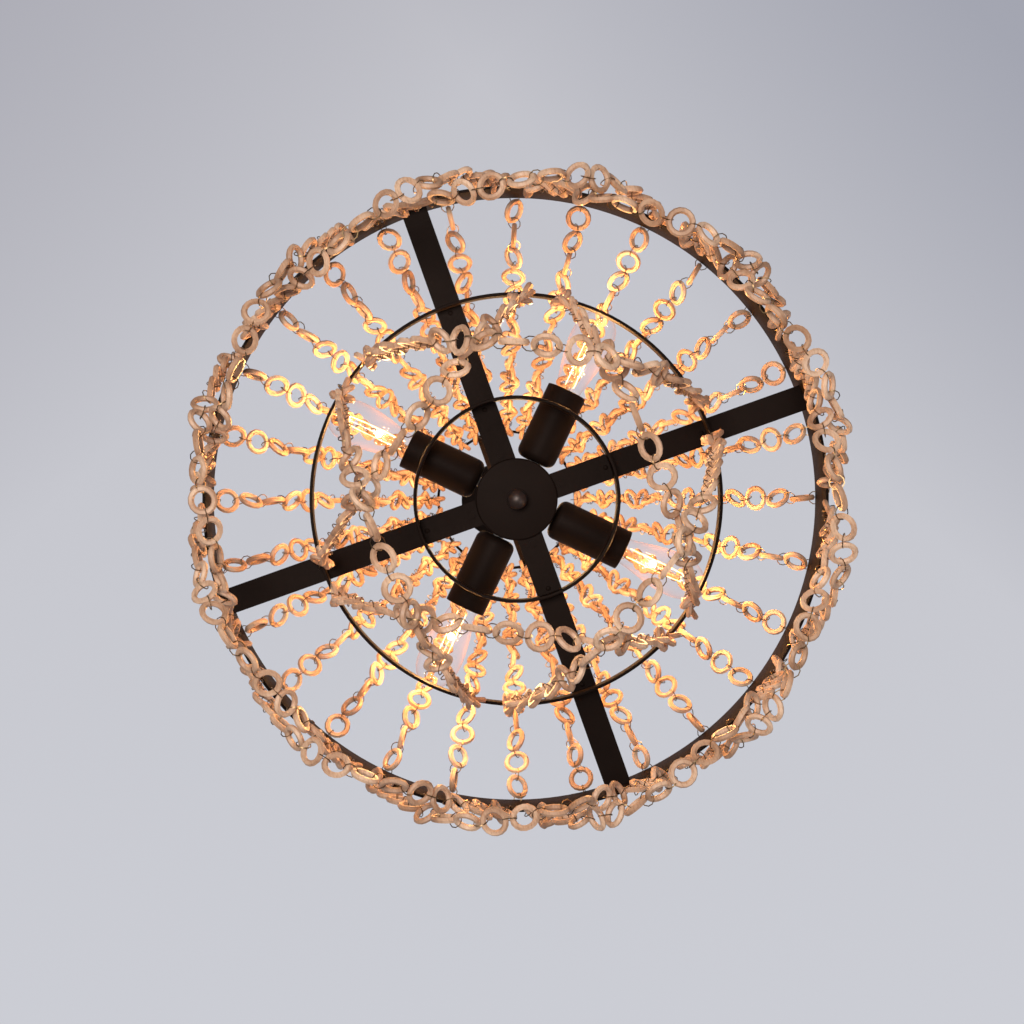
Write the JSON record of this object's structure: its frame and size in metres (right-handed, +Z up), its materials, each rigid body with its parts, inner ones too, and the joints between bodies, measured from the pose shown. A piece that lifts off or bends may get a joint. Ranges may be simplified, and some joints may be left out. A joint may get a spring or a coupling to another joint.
{
  "type": "orb chandelier",
  "caption": "Pendant chandelier: a dark metal wheel with hoops on a stem, lamp cups with clear filament bulbs, hung strands and swags of wooden rings.",
  "frame": {"origin": "centre of the crossbar's upper face, on the ceiling", "axes": "+Z up along the stem into the ceiling; +X along the crossbar and one spoke; +Y along the next spoke"},
  "size_m": [0.6068, 0.6065, 1.713],
  "materials": {
    "dark_metal": "satin",
    "plated_steel": "satin",
    "ring_wood": "matte",
    "lampholder": "matte",
    "bulb_cap": "satin",
    "bulb_glass": "clear"
  },
  "bodies": {
    "bracket": {"crossbar": "plated_steel", "nipple": "plated_steel", "nipple_nuts": "plated_steel", "loop_body": "dark_metal"},
    "canopy_set": {"canopy": "dark_metal", "canopy_collar": "dark_metal"},
    "swivel": {"swivel_yoke": "dark_metal", "swivel_pin": "dark_metal"},
    "fixture": {"stem_knuckle": "dark_metal", "stem_upper_1": "dark_metal", "stem_coupling": "dark_metal", "stem_upper_2": "dark_metal", "stem_lower": "dark_metal", "top_spider": "dark_metal", "top_hoop": "dark_metal", "outer_band": "dark_metal", "middle_hoop": "dark_metal", "small_hoop": "dark_metal", "spoke_1": "dark_metal", "spoke_2": "dark_metal", "spoke_3": "dark_metal", "spoke_4": "dark_metal", "hub_plate": "dark_metal", "hub_screws": "dark_metal", "hub_drum": "dark_metal", "hub_cover": "dark_metal", "hub_ball": "dark_metal", "hub_rod": "plated_steel", "hub_nuts": "plated_steel", "lamp_arms": "plated_steel", "lamp_cup_1": "dark_metal", "lamp_cup_2": "dark_metal", "lamp_cup_3": "dark_metal", "lamp_cup_4": "dark_metal", "lampholder_1": "lampholder", "lampholder_2": "lampholder", "lampholder_3": "lampholder", "lampholder_4": "lampholder", "strands_1": "ring_wood", "strands_2": "ring_wood", "strands_3": "ring_wood", "strands_4": "ring_wood", "middle_swags_1": "ring_wood", "middle_swags_2": "ring_wood", "outer_swags_1": "ring_wood", "outer_swags_2": "ring_wood", "outer_swags_3": "ring_wood", "outer_swags_4": "ring_wood"},
    "lamp_1": {"bulb_1": "bulb_glass", "bulb_cap_1": "bulb_cap"},
    "lamp_2": {"bulb_2": "bulb_glass", "bulb_cap_2": "bulb_cap"},
    "lamp_3": {"bulb_3": "bulb_glass", "bulb_cap_3": "bulb_cap"},
    "lamp_4": {"bulb_4": "bulb_glass", "bulb_cap_4": "bulb_cap"}
  },
  "joints": [
    {"name": "canopy_lower", "type": "slide", "parent": "bracket", "child": "canopy_set", "axis": [0, 0, -1], "range_m": [0, 0.4]},
    {"name": "yoke_turn", "type": "hinge", "parent": "bracket", "child": "swivel", "pos_m": [0, 0, -0.035], "axis": [0, 0, 1], "range_deg": [-165, 165]},
    {"name": "stem_tilt", "type": "hinge", "parent": "swivel", "child": "fixture", "pos_m": [0, 0, -0.057], "axis": [0, 1, 0], "range_deg": [-25, 25]},
    {"name": "bulb_1_draw", "type": "slide", "parent": "fixture", "child": "lamp_1", "axis": [0.7071, 0.7071, 0], "range_m": [0, 0.033]},
    {"name": "bulb_2_draw", "type": "slide", "parent": "fixture", "child": "lamp_2", "axis": [-0.7071, 0.7071, 0], "range_m": [0, 0.033]},
    {"name": "bulb_3_draw", "type": "slide", "parent": "fixture", "child": "lamp_3", "axis": [-0.7071, -0.7071, 0], "range_m": [0, 0.033]},
    {"name": "bulb_4_draw", "type": "slide", "parent": "fixture", "child": "lamp_4", "axis": [0.7071, -0.7071, 0], "range_m": [0, 0.033]}
  ]
}
